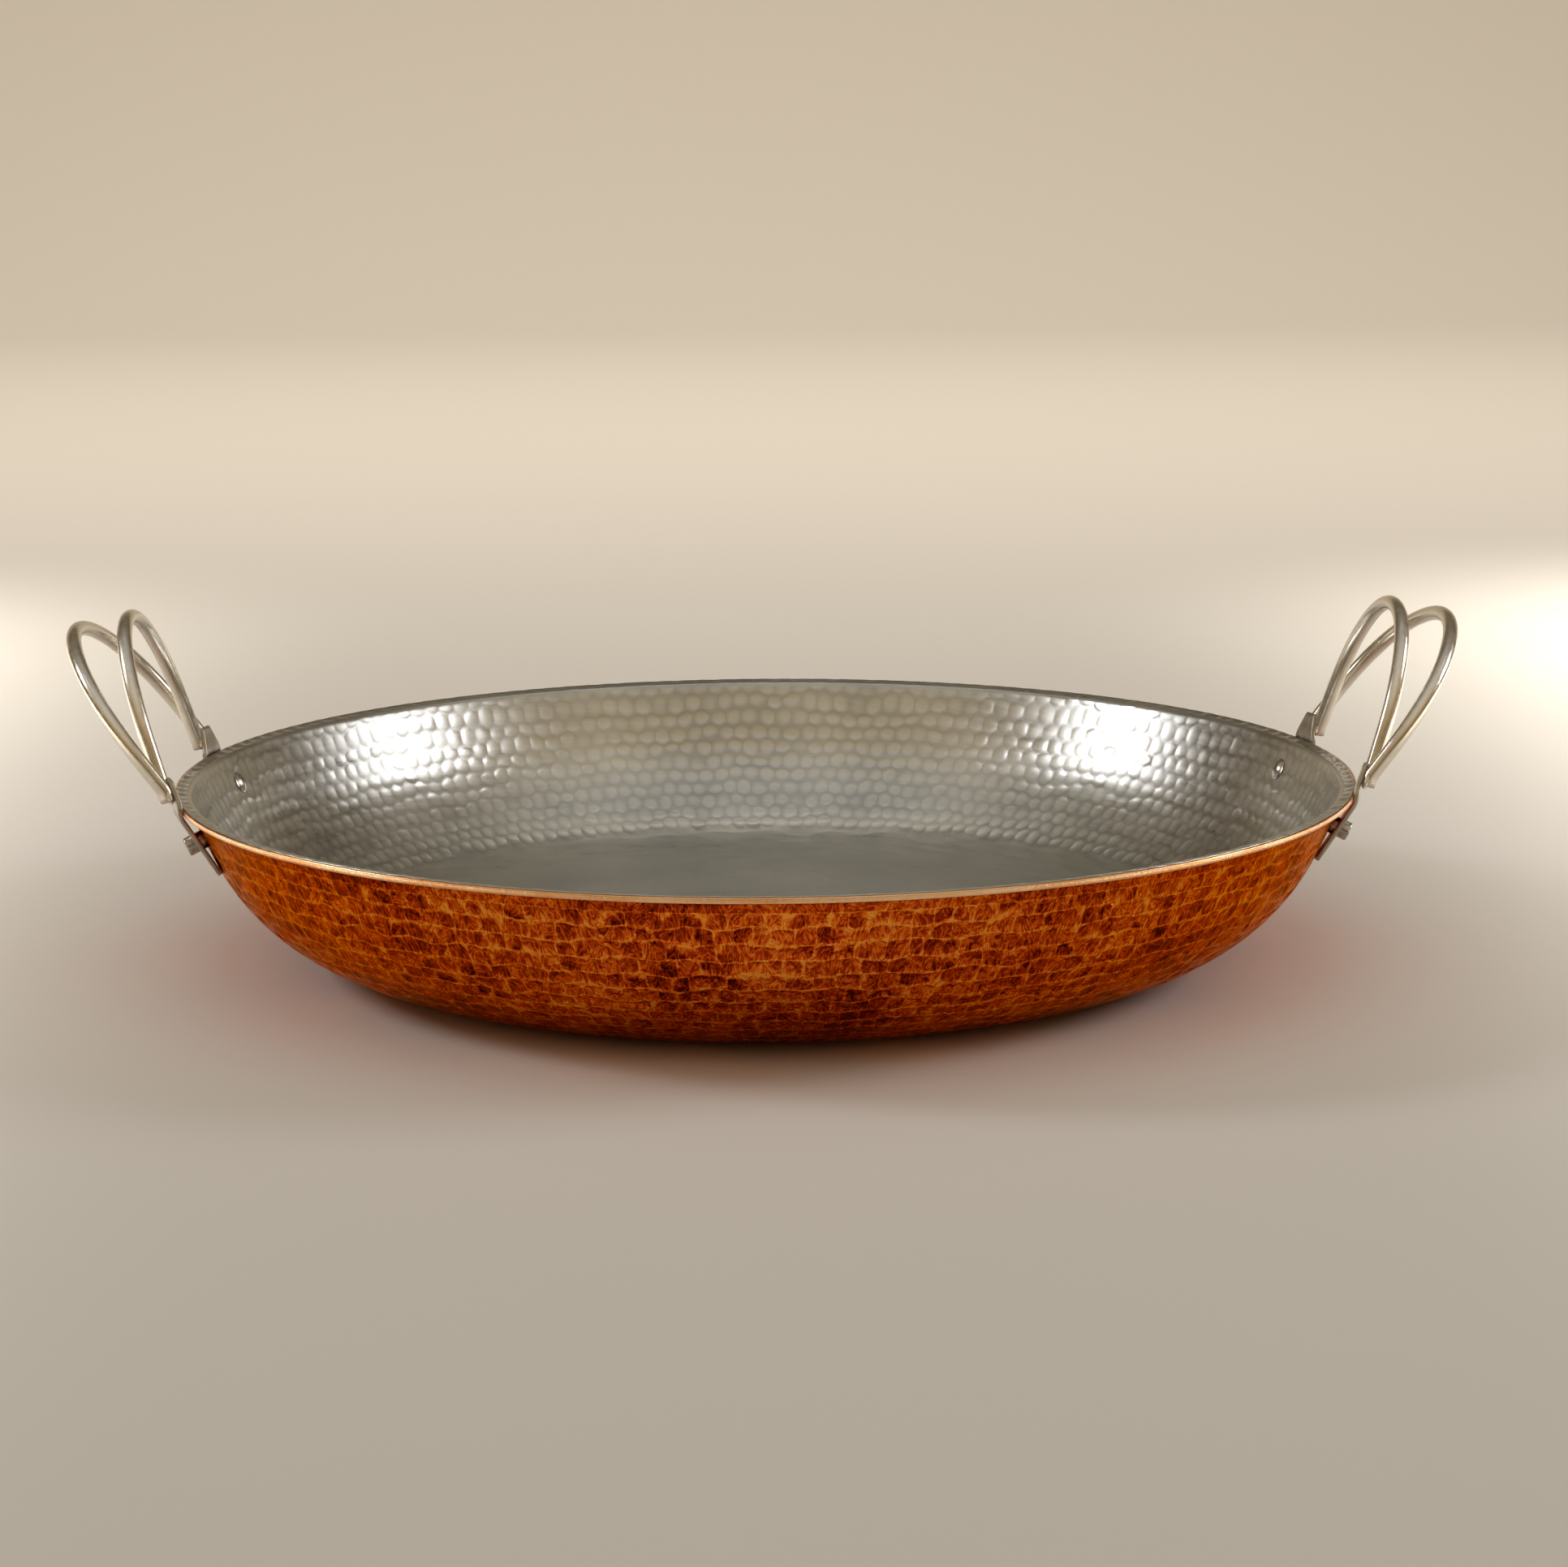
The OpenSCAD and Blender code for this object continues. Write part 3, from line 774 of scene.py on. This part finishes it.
def add(tree, kind, settings=None, stops=(), **sockets):
    """Adds one node. A socket's value may be a number, a colour or another node's output.

    A socket is named, or is i and its number. stops are a colour ramp's places and hex colours.
    """
    node = tree.nodes.new("ShaderNode" + kind)
    for name, value in (settings or {}).items():
        setattr(node, name, value)
    for name, value in sockets.items():
        numbered = name[0] == "i" and name[1:].isdigit()
        socket = node.inputs[int(name[1:]) if numbered else name.replace("_", " ")]
        if isinstance(value, bpy.types.NodeSocket):
            tree.links.new(value, socket)
        else:
            socket.default_value = value
    for _ in stops[2:]:
        node.color_ramp.elements.new(0.5)
    for number, (position, colour) in enumerate(stops):
        node.color_ramp.elements[number].position = position
        node.color_ramp.elements[number].color = linear(colour)
    return node


def new_material(name):
    """An empty material and its tree of nodes."""
    material = bpy.data.materials.new(name)
    material.use_nodes = True
    material.node_tree.nodes.clear()
    return material, material.node_tree


# %% [markdown]
# ## Polished hammered copper
# Copper sheet, hammered and then polished by hand. Polishing brightens the raised lines, and their
# paler colour here is also a painted highlight. Heat and hands leave patches from orange to brown.
# Each mark carries a painted shade, lighter on one side and darker on the other, and rings of
# colour round each swirl are a painted reflection. That gives the eye a warm, mottled skin under a
# high gloss. Patches are about 42 mm wide, mottles 4 mm and swirls 5 mm. Real polishing streaks are
# about 0.1 mm wide. They are drawn 1.4 mm wide and six times as long, so that they show.


# %% Polished hammered copper
def weighted_sum(tree, base, parts):
    """Adds values, each times its weight, to a base."""
    for value, weight in parts:
        base = add(tree, "Math", {"operation": "MULTIPLY_ADD"}, i0=value, i1=weight, i2=base).outputs[0]
    return base


def close_metal(tree, tone, rough, **sockets):
    """Ends a metal's tree with a Principled shader and the output."""
    shader = add(tree, "BsdfPrincipled", Base_Color=tone.outputs["Color"], Metallic=1.0,
                 Roughness=rough.outputs["Result"], **sockets)
    add(tree, "OutputMaterial", Surface=shader.outputs["BSDF"])


copper, tree = new_material("polished hammered copper")
where = add(tree, "TexCoord").outputs["Object"]
mark = add(tree, "Attribute", {"attribute_name": "mark_depth"})
# This attribute is each mark's random tone plus its painted shade, a slope from light to dark across the
# mark.
tone_and_shade_attribute = add(tree, "Attribute", {"attribute_name": "mark_tone_and_painted_shade"})
# Paler colour on the raised lines between marks: partly polish wear, partly a painted highlight.
dent = add(tree, "MapRange", Value=mark.outputs["Fac"], i1=0.0, i2=0.025)
broad = add(tree, "TexNoise", Vector=where, Scale=lumps_of(41.7), Detail=4.0, Roughness=0.55)
upright = add(tree, "Mapping", Vector=where, Scale=(1, 1, 0.16)).outputs["Vector"]
streaks = add(tree, "TexNoise", Vector=upright, Scale=lumps_of(1.429), Detail=3.0, Roughness=0.6)
mottle = add(tree, "TexNoise", Vector=where, Scale=lumps_of(3.85), Detail=4.0, Roughness=0.62,
             Distortion=1.6)
fine = add(tree, "TexNoise", Vector=where, Scale=lumps_of(2.326), Detail=4.0, Roughness=0.6,
           Distortion=0.6)
swirl = add(tree, "TexNoise", Vector=upright, Scale=lumps_of(5.26), Detail=2.0, Roughness=0.5,
            Distortion=2.2)
# Rings of colour round each swirl: a painted reflection, like the contours that a polished uneven skin
# reflects.
painted_band_turn = add(tree, "Math", {"operation": "MULTIPLY"}, i0=swirl.outputs["Fac"], i1=34.0)
painted_reflection_bands = add(tree, "Math", {"operation": "SINE"}, i0=painted_band_turn.outputs[0])
total = weighted_sum(tree, -0.77, [
    (broad.outputs["Fac"], 0.8),
    (dent.outputs["Result"], 0.27),
    (tone_and_shade_attribute.outputs["Fac"], 0.1),
    (streaks.outputs["Fac"], 0.45),
    (mottle.outputs["Fac"], 0.7),
    (painted_reflection_bands.outputs[0], 0.14),
])
tone = add(tree, "ValToRGB", Fac=total, stops=[
    (0.06, "#FFAA40"), (0.26, "#F2741C"), (0.5, "#B83A0A"), (0.78, "#470C02")])
rough = add(tree, "MapRange", Value=fine.outputs["Fac"], i1=0.3, i2=0.7, i3=0.1, i4=0.2)
relief = add(tree, "Math", {"operation": "MULTIPLY_ADD"}, i0=swirl.outputs["Fac"], i1=2.5,
             i2=streaks.outputs["Fac"])
bump = add(tree, "Bump", Strength=0.8, Distance=0.0004, Height=relief.outputs[0])
close_metal(tree, tone, rough, Specular_Tint=linear("#FFC477"), Normal=bump.outputs["Normal"])
copper_bowl.data.materials.append(copper)

# %% [markdown]
# ## Sanded copper edge
# The lip's edge is a cut through the sheet, sanded flat. Bare fresh copper is paler than the
# polished skin, and sanding makes it duller. The edge's colour is made paler still, a painted
# highlight, so the eye sees a light, pinkish line round the rim.
# Grit leaves scratches of 0.1 mm. They are drawn about 1.1 mm wide, so that they show.

# %% Sanded copper edge
edge_copper, tree = new_material("sanded copper edge with painted highlight")
where = add(tree, "TexCoord").outputs["Object"]
fine = add(tree, "TexNoise", Vector=where, Scale=lumps_of(1.111), Detail=3.0, Roughness=0.6)
broad = add(tree, "TexNoise", Vector=where, Scale=lumps_of(28.6), Detail=3.0)
both = weighted_sum(tree, 0.1, [(broad.outputs["Fac"], 0.7), (fine.outputs["Fac"], 0.3)])
# The pale ramp is bare copper's own colour plus a painted highlight along the cut edge.
tone = add(tree, "ValToRGB", Fac=both, stops=[(0.3, "#FFE9CC"), (0.55, "#FFCF9C"), (0.8, "#EDA264")])
rough = add(tree, "MapRange", Value=fine.outputs["Fac"], i1=0.3, i2=0.7, i3=0.24, i4=0.4)
close_metal(tree, tone, rough)
copper_bowl.data.materials.append(edge_copper)
corner_places = [vertex.co for vertex in copper_bowl.data.vertices]
on_edge = []
for face in copper_bowl.data.polygons:
    places = [corner_places[v] for v in face.vertices]
    near_rim = min(place.xy.length for place in places) > (rim_r - 0.45) * MM
    above_cut = max(place.z for place in places) > (edge_low - 0.1) * MM
    on_edge.append(int(near_rim and above_cut))
copper_bowl.data.polygons.foreach_set("material_index", on_edge)
print("faces of the cut edge:", sum(on_edge))

# %% [markdown]
# ## Wiped tin
# Molten tin is spread over the copper and wiped round with a cloth, so its faint streaks run round
# the pan, about 3 mm wide. Tin is a soft, slightly warm grey, and the satin surface blurs what it
# reflects. To run the streaks round, the noise reads the radius and the height in place of x and y.

# %% Wiped tin
tin, tree = new_material("wiped tin")
where = add(tree, "TexCoord").outputs["Object"]
parts = add(tree, "SeparateXYZ", Vector=where)
flat = add(tree, "CombineXYZ", X=parts.outputs["X"], Y=parts.outputs["Y"]).outputs[0]
radius = add(tree, "VectorMath", {"operation": "LENGTH"}, i0=flat)
round_way = add(tree, "VectorMath", {"operation": "NORMALIZE"}, i0=flat)
round_short = add(tree, "VectorMath", {"operation": "SCALE"}, i0=round_way.outputs[0], Scale=0.03)
turn_parts = add(tree, "SeparateXYZ", Vector=round_short.outputs[0])
height_turn = add(tree, "Math", {"operation": "ADD"}, i0=parts.outputs["Z"],
                  i1=turn_parts.outputs["X"])
spin_pos = add(tree, "CombineXYZ", X=radius.outputs["Value"], Y=height_turn.outputs[0],
               Z=turn_parts.outputs["Y"])
wipes = add(tree, "TexNoise", Vector=spin_pos.outputs[0], Scale=lumps_of(3.03), Detail=4.0,
            Roughness=0.7)
mark = add(tree, "Attribute", {"attribute_name": "mark_depth"})
dent = add(tree, "MapRange", Value=mark.outputs["Fac"], i1=0.0, i2=0.1)
broad = add(tree, "TexNoise", Vector=where, Scale=lumps_of(62.5), Detail=3.0)
mixed = weighted_sum(tree, -0.1, [
    (broad.outputs["Fac"], 0.6), (wipes.outputs["Fac"], 0.4), (dent.outputs["Result"], 0.25)])
tone = add(tree, "ValToRGB", Fac=mixed, stops=[(0.2, "#9A9A94"), (0.5, "#BBB9B1"), (0.85, "#D2D0C8")])
rough = add(tree, "MapRange", Value=wipes.outputs["Fac"], i1=0.3, i2=0.7, i3=0.26, i4=0.38)
bump = add(tree, "Bump", Strength=0.05, Distance=0.0002, Height=wipes.outputs["Fac"])
close_metal(tree, tone, rough, Normal=bump.outputs["Normal"])
tin_lining.data.materials.append(tin)

# %% [markdown]
# ## Satin stainless rod
# Round rod of stainless steel, drawn through a die and then rubbed to a satin. It gives the eye a
# soft, unbroken highlight along each bend. The faint change in gloss has lumps of about 3 mm.

# %% Satin stainless rod
steel, tree = new_material("satin stainless rod")
where = add(tree, "TexCoord").outputs["Object"]
fine = add(tree, "TexNoise", Vector=where, Scale=lumps_of(3.33), Detail=2.0)
tone = add(tree, "ValToRGB", Fac=fine.outputs["Fac"], stops=[(0.3, "#DAD2C4"), (0.7, "#E4DDD0")])
rough = add(tree, "MapRange", Value=fine.outputs["Fac"], i1=0.3, i2=0.7, i3=0.2, i4=0.28)
close_metal(tree, tone, rough)
for piece in steel_pieces["rod"] + steel_pieces["weld"]:
    piece.data.materials.append(steel)

# %% [markdown]
# ## Filed strap steel
# The straps are cut from sheet, filed and left. Filing leaves low spots that stay darker, so the
# eye sees a duller grey with soft patches of 11 mm. A file's teeth are about 0.5 mm apart. They are
# drawn as lumps of 2.4 mm, so that they show.

# %% Filed strap steel
strap_steel, tree = new_material("filed strap steel")
where = add(tree, "TexCoord").outputs["Object"]
fine = add(tree, "TexNoise", Vector=where, Scale=lumps_of(2.38), Detail=4.0)
broad = add(tree, "TexNoise", Vector=where, Scale=lumps_of(11.1), Detail=2.0)
mixed = weighted_sum(tree, 0.0, [(broad.outputs["Fac"], 0.7), (fine.outputs["Fac"], 0.35)])
tone = add(tree, "ValToRGB", Fac=mixed, stops=[(0.3, "#8A8175"), (0.55, "#B0A89B"), (0.8, "#CFC8BC")])
rough = add(tree, "MapRange", Value=fine.outputs["Fac"], i1=0.3, i2=0.7, i3=0.28, i4=0.42)
bump = add(tree, "Bump", Strength=0.15, Distance=0.0002, Height=mixed)
close_metal(tree, tone, rough, Normal=bump.outputs["Normal"])
for piece in steel_pieces["strap"]:
    piece.data.materials.append(strap_steel)

# %% [markdown]
# ## Hammered rivet steel
# Soft steel that was hammered over. The blows leave it brighter than the strap, with small dents
# of about 2 mm that break up its highlight.

# %% Hammered rivet steel
rivet_steel, tree = new_material("hammered rivet steel")
where = add(tree, "TexCoord").outputs["Object"]
fine = add(tree, "TexNoise", Vector=where, Scale=lumps_of(2), Detail=4.0)
tone = add(tree, "ValToRGB", Fac=fine.outputs["Fac"], stops=[(0.3, "#9A948A"), (0.7, "#C8C3B8")])
rough = add(tree, "MapRange", Value=fine.outputs["Fac"], i1=0.3, i2=0.7, i3=0.2, i4=0.34)
bump = add(tree, "Bump", Strength=0.12, Distance=0.0002, Height=fine.outputs["Fac"])
close_metal(tree, tone, rough, Normal=bump.outputs["Normal"])
for piece in steel_pieces["rivet"]:
    piece.data.materials.append(rivet_steel)

# %% [markdown]
# ## The studio floor
# A pan is pictured on a paper sweep: paper that lies flat and curves up behind, so that no line
# shows where the floor ends. Matt, warm white paper also throws soft light back at the copper.

# %% Studio floor
floor_mesh = bpy.data.meshes.new("studio_floor")
sweep_start, sweep_r, sweep_top, side_reach, front_reach = 3.0, 1.5, 1.7, 8.0, 6.0
sweep = [(-front_reach, 0.0), (0.0, 0.0)]
for a in np.linspace(0, math.pi / 2, 24):
    sweep.append((sweep_start + sweep_r * math.sin(a), sweep_r * (1 - math.cos(a))))
sweep.append((sweep_start + sweep_r, sweep_top))
corners = [(x, y, z) for y, z in sweep for x in (-side_reach, side_reach)]
strips = [(2 * k, 2 * k + 1, 2 * k + 3, 2 * k + 2) for k in range(len(sweep) - 1)]
floor_mesh.from_pydata(corners, [], strips)
floor_mesh.polygons.foreach_set("use_smooth", [True] * len(strips))
floor = bpy.data.objects.new("studio_floor", floor_mesh)
bpy.context.scene.collection.objects.link(floor)
floor.location.z = -0.0002
paper, tree = new_material("pale studio paper")
shader = add(tree, "BsdfPrincipled", Base_Color=linear("#E2DDD4"), Roughness=0.85)
add(tree, "OutputMaterial", Surface=shader.outputs["BSDF"])
floor.data.materials.append(paper)

# %% [markdown]
# ## Lights
# Metal shows what is around it more than its own colour. The sky runs from dark below to warm tan to
# pale, and is dimmer behind the pan, so that the copper goes from bright to deep. Two softboxes
# put a highlight on each side of the tin, a wash lights the backdrop, and two narrow lights brighten
# the floor at both sides.

# %% Lights
world = bpy.data.worlds.new("studio")
bpy.context.scene.world = world
world.use_nodes = True
sky = world.node_tree.nodes["Background"]
way = add(world.node_tree, "TexCoord")
parts = add(world.node_tree, "SeparateXYZ", Vector=way.outputs["Generated"])
height = add(world.node_tree, "ValToRGB", Fac=parts.outputs["Z"], stops=[
    (0.0, "#3A3A3C"), (0.3, "#A68A5C"), (0.7, "#CFC2AC"), (1.0, "#E4E2DE")])
front = add(world.node_tree, "MapRange", Value=parts.outputs["Y"], i1=0.7, i2=-0.7, i3=0.3, i4=1.05)
world.node_tree.links.new(height.outputs["Color"], sky.inputs["Color"])
world.node_tree.links.new(front.outputs["Result"], sky.inputs["Strength"])


def softbox(name, place, aim, size, power, colour):
    """A square area light that faces a point."""
    lamp = bpy.data.lights.new(name, "AREA")
    lamp.shape = "RECTANGLE"
    lamp.size, lamp.size_y = size
    lamp.energy = power
    lamp.color = linear(colour)[:3]
    thing = bpy.data.objects.new(name, lamp)
    bpy.context.scene.collection.objects.link(thing)
    thing.location = place
    thing.rotation_euler = (Vector(aim) - Vector(place)).to_track_quat("-Z", "Y").to_euler()
    return thing


centre = Vector((0, 0, 0.04))
softbox("left_softbox", (-1.4, 0.15, 0.86), centre, (0.35, 0.4), 6.5, "#F3F6FF")
softbox("right_softbox", (1.5, 0.1, 0.72), centre, (0.6, 0.5), 7.5, "#F3F6FF")
wash = softbox("backdrop_wash", (0, 1.2, 2.2), (0, 2.6, 0), (3.4, 1.0), 24, "#FFF4E6")
wash.data.spread = math.radians(120)
for name, x in (("left_floor_light", -0.76), ("right_floor_light", 0.76)):
    lamp = softbox(name, (x, 0.1, 0.7), (x, 0.1, 0), (0.6, 1.4), 8.0, "#FFFAF2")
    lamp.data.spread = math.radians(50)
bpy.context.scene.view_settings.view_transform = "Standard"

# %% [markdown]
# ## Camera
# A long lens from 1.2 m keeps the pan's ellipse calm. The camera stands ten degrees above the rim,
# looks down at it and leans by a third of a degree, as a hand-set tripod does.

# %% Camera
camera_data = bpy.data.cameras.new("camera")
camera = bpy.data.objects.new("camera", camera_data)
bpy.context.scene.collection.objects.link(camera)
camera_data.sensor_width = 36
camera_data.lens = 85.77
camera_data.clip_start = 0.05
camera_data.clip_end = 200
stand_off = 1.2193
height_angle, turn = math.radians(10.52), math.radians(-1.8)
yaw, pitch, roll = math.radians(0.28), math.radians(10.71), math.radians(-0.35)
ahead = Vector((math.sin(yaw) * math.cos(pitch), math.cos(yaw) * math.cos(pitch), -math.sin(pitch)))
side = Vector((math.cos(yaw), -math.sin(yaw), 0))
up = side.cross(ahead)
side, up = side * math.cos(roll) + up * math.sin(roll), up * math.cos(roll) - side * math.sin(roll)
pose = Matrix((side, up, -ahead)).transposed().to_4x4()
pose.translation = Vector((0, -math.cos(height_angle), math.sin(height_angle))) * stand_off
spin = Matrix.Rotation(turn, 4, "Z")
camera.matrix_world = Matrix.Translation((0, 0, bowl_h * MM)) @ spin @ pose
bpy.context.scene.camera = camera
